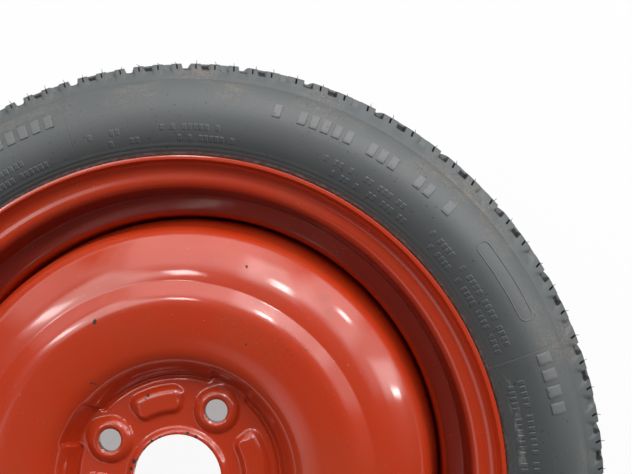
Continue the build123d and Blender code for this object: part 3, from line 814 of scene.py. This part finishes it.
edge = complex(crown_radius(EDGE_HALF), EDGE_HALF)
face_length = abs(edge - complex(*PARTING))
face_way = (edge - complex(*PARTING)) / face_length
face = [complex(*PARTING) + face_way * up for up in (0, 1.4, 2.2, 4, 6, 8, 9.6, 10.6, 11.4, 12.4, 13.6, 14.8)]
outer_band = [complex(crown_radius(h), h) for h in (39.0, 38.2, 36.6, 34.4, 32.9, 32.2, 28, 23, 17.2)]
groove_floor = tyre_radius - GROOVE[2]
groove = [complex(crown_radius(GROOVE[1]), GROOVE[1]), complex(groove_floor, GROOVE[1])]
groove += [complex(groove_floor, GROOVE[0]), complex(crown_radius(GROOVE[0]), GROOVE[0])]
half_tread = [complex(PARTING[0] - 4, PARTING[1] - 5), *face, *outer_band, *groove]
tread_line = half_tread + [spot.conjugate() for spot in reversed(half_tread)]
pitches = [length for count, length in PITCH_RUNS for _ in range(count)]
slots_round = 3 * len(pitches)
slot_turn = tau / slots_round
tread = turned("tread_band", [spot + 1j * middle for spot in tread_line], COLUMNS, True, slot_turn)

# %% Tread ring
alone()
bpy.ops.object.empty_add(rotation=(0, 0, slot_turn))
turn = bpy.context.object
array = {"fit_type": "FIXED_COUNT", "count": slots_round, "use_relative_offset": False}
apply(tread, "ARRAY", use_object_offset=True, offset_object=turn, **array)
bpy.data.objects.remove(turn)
alone()
bpy.context.view_layer.objects.active = tread
bpy.ops.object.mode_set(mode="EDIT")
bpy.ops.mesh.select_all(action="SELECT")
bpy.ops.mesh.remove_doubles(threshold=2e-5)
bpy.ops.mesh.normals_make_consistent(inside=False)
bpy.ops.object.mode_set(mode="OBJECT")
print("tread ring", len(tread.data.vertices), "points")

# %% Tread pitches and slots
SLOT_FOOT = 10.5
SLOT_HALF_WIDTH = 2.7
SLOT_SLANT = tan(radians(16))
SHALLOW_DEPTH = 0.9
SLOT_REACHES = (35.5, 16.6, 35.5)
FACET_FOOT, FACET_DEPTH = 1.6, 1.0
ARCH_SHARE, ARCH_TAPER = 0.46, 0.55
# a facet goes in square to the shoulder's face: this much of its depth inwards, and this much down
FACET_IN, FACET_DOWN = 0.571, 0.821

points = np.array([vertex.co for vertex in tread.data.vertices]) / mm
radius = np.hypot(points[:, 0], points[:, 1])
height = points[:, 2] - middle
columns_round = slots_round * COLUMNS
spun = np.arctan2(points[:, 1], points[:, 0]) % tau / tau
column = np.round(spun * columns_round).astype(int) % columns_round
starts = np.concatenate([[0], np.cumsum(np.repeat(pitches, 3))]) / np.sum(np.repeat(pitches, 3)) * tau
slot, place = column // COLUMNS, column % COLUMNS / COLUMNS
slot_angle = starts[slot + 1] - starts[slot]
angle = radians(PITCH_START) + starts[slot] + slot_angle * place

along = np.array([0.0] + [abs(b - a) for a, b in zip(half_tread[1:], half_tread[2:])]).cumsum()
section = np.array([(spot.real, spot.imag) for spot in half_tread[1:]])
apart = np.hypot(radius[:, None] - section[:, 0], np.abs(height)[:, None] - section[:, 1])
nearest = np.argmin(apart, axis=1)
inner = radius < PARTING[0] - 2
up = np.where(inner, 0, along[nearest])
half_height = np.abs(height)
on_face = up < face_length + 0.01
# the slots run in at a slant, so each column leans from the slots' feet to the groove
slot_foot_height = PARTING[1] + face_way.imag * SLOT_FOOT
lean_run = np.clip(slot_foot_height - half_height, 0, slot_foot_height - GROOVE[1])
angle = angle + np.where(inner, 0, SLOT_SLANT * lean_run / tyre_radius)

# the arched facets, deepest at their upper ends
from_middle = np.abs(place - 0.5) * slot_angle * tyre_radius
arch = ARCH_SHARE * slot_angle * tyre_radius * (1 - np.clip(up / SLOT_FOOT, 0, 1.4) * ARCH_TAPER)
facet = ramp(arch - from_middle, -0.3, 0.7) * ramp(up, FACET_FOOT, SLOT_FOOT) * on_face * FACET_DEPTH
facet = facet * np.where(up > SLOT_FOOT, ramp(up, face_length, SLOT_FOOT), 1)
# the slots, cut in from the edge of the tread
reach = np.array(SLOT_REACHES)[slot % 3]
in_slot = ramp(SLOT_HALF_WIDTH - from_middle, -0.45, 0.45) * (up > SLOT_FOOT - 0.2) * ~inner
floor = PARTING[0] + face_way.real * SLOT_FOOT + 0.2 * (slot_foot_height - half_height)
floor = np.where(slot % 3 == 2, radius - SHALLOW_DEPTH, floor)
cut = in_slot * (half_height > reach) * np.clip(radius - floor, 0, None)
radius = radius - facet * FACET_IN - cut
height = np.sign(height) * (half_height - facet * FACET_DOWN)
moved = np.stack([radius * np.cos(angle), radius * np.sin(angle), height + middle], axis=1)
tread.data.vertices.foreach_set("co", (moved * mm).ravel())
tread.data.update()
print(slots_round, "slots on each shoulder")

# %% Tread UV map
chart = tread.data.uv_layers.new(name="tread")
corners = np.array([corner.vertex_index for corner in tread.data.loops])
faces_of = np.repeat(np.arange(len(tread.data.polygons)), [face.loop_total for face in tread.data.polygons])
count_round = (slot + place)[corners]
widest = np.zeros(len(tread.data.polygons))
np.maximum.at(widest, faces_of, count_round)
over_seam = widest[faces_of] - count_round > slots_round / 2
count_round = np.where(over_seam, count_round + slots_round, count_round)
chart.data.foreach_set("uv", np.stack([count_round, up[corners] * mm], axis=1).ravel().astype(np.float32))
smooth(tread, 38)
wear(tread, tread_rubber)
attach(tread, "wheel")
print("tread", len(tread.data.polygons), "faces")

# %% [markdown]
# ## Vent whiskers
# Rubber that was pressed into the mould's vents is left as thin whiskers along the tread's edge, one at
# each knife slit. Each is a thin cone with a little tilt of its own, and all of them are joined.

# %% Vent whiskers
shake = Random(5)
WHISKER = 3.0
alone()
whiskers = []
for side in (1, -1):
    for turn in starts[:-1]:
        at = radians(PITCH_START) + turn + shake.gauss(0, 0.002)
        outward = Vector((cos(at), sin(at), 0.45 * side + shake.gauss(0, 0.3)))
        outward += Vector((-sin(at), cos(at), 0)) * shake.gauss(0, 0.45)
        root = Vector((edge.real * cos(at), edge.real * sin(at), middle + side * edge.imag)) * mm
        length = WHISKER * mm * shake.uniform(0.5, 1.1)
        lie = outward.normalized()
        shape = {"vertices": 4, "radius1": 0.28 * mm, "radius2": 0.1 * mm, "depth": length}
        tilt = lie.to_track_quat("Z", "Y").to_euler()
        bpy.ops.mesh.primitive_cone_add(location=root + lie * length * 0.4, rotation=tilt, **shape)
        whiskers.append(bpy.context.object)
for whisker in whiskers:
    whisker.select_set(True)
bpy.context.view_layer.objects.active = whiskers[0]
bpy.ops.object.join()
bpy.ops.object.transform_apply()
whiskers[0].name = "vent_whiskers"
wear(whiskers[0], tread_rubber)
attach(whiskers[0], "wheel")
print(len(whiskers), "whiskers")

# %% [markdown]
# ## Valve and welds
# These keep their CAD shapes and get their own finishes, and the spring is given a mesh of its own.

# %% Valve and welds
VALVE_FOOT = Vector((0, -181.7, -17.5))
VALVE_WAY = Vector((0, 0.4666, 0.8845))
dressed = {
    "valve_body": valve_rubber,
    "valve_stem": brass,
    "core_barrel": brass,
    "core_pin": brass,
    "core_gasket": valve_rubber,
    "cap_seal": valve_rubber,
    "core_spring": spring_steel,
    "valve_cap": cap_plastic,
    "weld_beads": paint,
}
for name, material in dressed.items():
    wear(frame["nodes"][name], material)
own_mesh(frame["nodes"]["core_spring"])
print("valve and welds dressed")

# %% [markdown]
# ## Cap ribs
# Fingers turn the dust cap by its ribs. They are moulded with it; here a ring of 24 ribs is a tube whose
# points go in and out in turn, thickened into the cap's wall.

# %% Cap ribs
RIB_POINTS = 48
RIB_MIDDLE = 30.8
RIB_OUT, RIB_IN = 1.035, 0.965
alone()
tube = {"vertices": RIB_POINTS, "radius": 5.1 * mm, "depth": 7 * mm, "end_fill_type": "NOTHING"}
upright = VALVE_WAY.to_track_quat("Z", "Y").to_euler()
rib_place = (VALVE_FOOT + VALVE_WAY * RIB_MIDDLE) * mm
bpy.ops.mesh.primitive_cylinder_add(location=rib_place, rotation=upright, **tube)
ribs = bpy.context.object
ribs.name = "cap_ribs"
for vertex in ribs.data.vertices:
    place = round(atan2(vertex.co.y, vertex.co.x) * RIB_POINTS / tau)
    vertex.co.xy *= RIB_OUT if place % 2 else RIB_IN
apply(ribs, "SOLIDIFY", thickness=0.5 * mm, offset=-1)
bpy.ops.object.transform_apply()
wear(ribs, cap_plastic)
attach(ribs, "cap")
print("cap ribs", len(ribs.data.polygons), "faces")

# %% [markdown]
# ## Floor, lamps and world
# A pale floor carries the shadow, and a low round backdrop far off closes the view from the side. The
# camera and reflections see both as white. A picture of a studio could light the wheel, but soft panels can
# be placed one by one where the dome mirrors them: broad ones for the sheen, of which the far one at the top
# of the picture does most of the work, and a few small bright ones for the spots.

# %% Floor
WHITE_SHARE = 0.94
SHADE_SHARE = 0.56
BORE_PATCH = (-20, -23.5)
FLOOR_SIZE = 40
BACKDROP_RADIUS, BACKDROP_HEIGHT, BACKDROP_MIDDLE = 19, 3, 1.4


def pale_floor():
    finish = Finish("pale_floor", Base_Color=(0.85, 0.85, 0.85, 1), Roughness=0.9)
    tree = finish.tree
    glow = tree.nodes.new("ShaderNodeEmission")
    blend = tree.nodes.new("ShaderNodeMixShader")
    path = tree.nodes.new("ShaderNodeLightPath")
    looks = [Value(finish, path.outputs["Is %s Ray" % kind]) for kind in ("Camera", "Glossy", "Transmission")]
    # under the wheel the floor is shaded, so that the bolt holes look grey. The patch that the photo's camera
    # sees through the bore stays white, as the photo has it.
    shade = finish.step(finish.radius, 0.2, 0.16) * finish.step(finish.away(*BORE_PATCH), 0.036, 0.044)
    share = WHITE_SHARE - shade * SHADE_SHARE
    seen = sum(looks).math("MINIMUM", 1.0) * share
    tree.links.new(seen.socket, blend.inputs[0])
    tree.links.new(finish.shader.outputs[0], blend.inputs[1])
    tree.links.new(glow.outputs[0], blend.inputs[2])
    tree.links.new(blend.outputs[0], tree.nodes["Material Output"].inputs[0])
    return finish.material


alone()
pale = pale_floor()
bpy.ops.mesh.primitive_plane_add(size=FLOOR_SIZE, location=(0, 0, floor_z - 0.0002))
ground = bpy.context.object
ground.name = "floor"
wall_shape = {"radius": BACKDROP_RADIUS, "depth": BACKDROP_HEIGHT, "end_fill_type": "NOTHING"}
bpy.ops.mesh.primitive_cylinder_add(location=(0, 0, floor_z + BACKDROP_MIDDLE), **wall_shape)
backdrop = bpy.context.object
backdrop.name = "backdrop"
for staged in (ground, backdrop):
    staged.data.materials.append(pale)
print("floor and backdrop ready")

# %% Lamps and world
# the lamps stand round the middle of the quarter that the photo shows
LIT_MIDDLE = Vector((0.06, 0.1, 0))
PANEL_SHARES = (0.8, 1.0, 1.2)
PANEL_GAP = 0.05


def lamp(name, around, up, away, wide, tall, radiance):
    """Soft panel seen from the wheel at an angle round it and an angle up, as bright as its radiance."""
    alone()
    flat, rise = cos(radians(up)), sin(radians(up))
    to_lamp = Vector((cos(radians(around)) * flat, sin(radians(around)) * flat, rise))
    bpy.ops.object.light_add(type="AREA", location=to_lamp * away + LIT_MIDDLE)
    light = bpy.context.object
    light.name = name
    light.data.shape = "RECTANGLE"
    light.data.size = wide
    light.data.size_y = tall
    light.data.energy = radiance * wide * tall * tau / 2
    light.rotation_euler = to_lamp.to_track_quat("Z", "Y").to_euler()


def soft_wall(name, around, up, away, wide, tall, radiance):
    """A bright wall with a soft edge: three panels of rising size, one a little behind the other."""
    for i, share in enumerate(PANEL_SHARES):
        lamp(name, around, up, away + PANEL_GAP * i, wide * share, tall * share, radiance / 3)


soft_wall("far_wall", 93, 31, 2.75, 2.9, 2.8, 1.85)
soft_wall("upper_left", 146, 56, 2.4, 0.9, 0.9, 3.2)
soft_wall("left_low", 143, 24, 2.5, 1.0, 1.5, 1.0)
soft_wall("right_wall", 48, 30, 2.5, 1.0, 2.3, 2.2)
soft_wall("right_low", 25, 32, 2.5, 0.85, 2.4, 1.1)
soft_wall("halo", 73, 45, 2.6, 0.6, 1.6, 2.6)
soft_wall("behind", -147, 52, 2.5, 0.9, 1.1, 0.8)
lamp("tube_top", 115.6, 64, 2.4, 0.22, 0.2, 16)
lamp("tube_middle", 67.5, 52, 2.4, 0.22, 0.34, 18)
lamp("tube_right", 42, 29, 2.4, 0.2, 0.24, 16)
lamp("tube_left", 157, 52, 2.4, 0.2, 0.4, 9)
soft_wall("right_glow", 17, 27, 2.5, 0.5, 1.3, 3.0)
lamp("tube_low", 12, 24, 2.4, 0.1, 0.45, 20)
world = bpy.data.worlds.new("studio")
bpy.context.scene.world = world
world.use_nodes = True
background = world.node_tree.nodes["Background"]
background.inputs["Color"].default_value = (0.95, 0.97, 1.0, 1)
background.inputs["Strength"].default_value = 0.06
print("stage set")
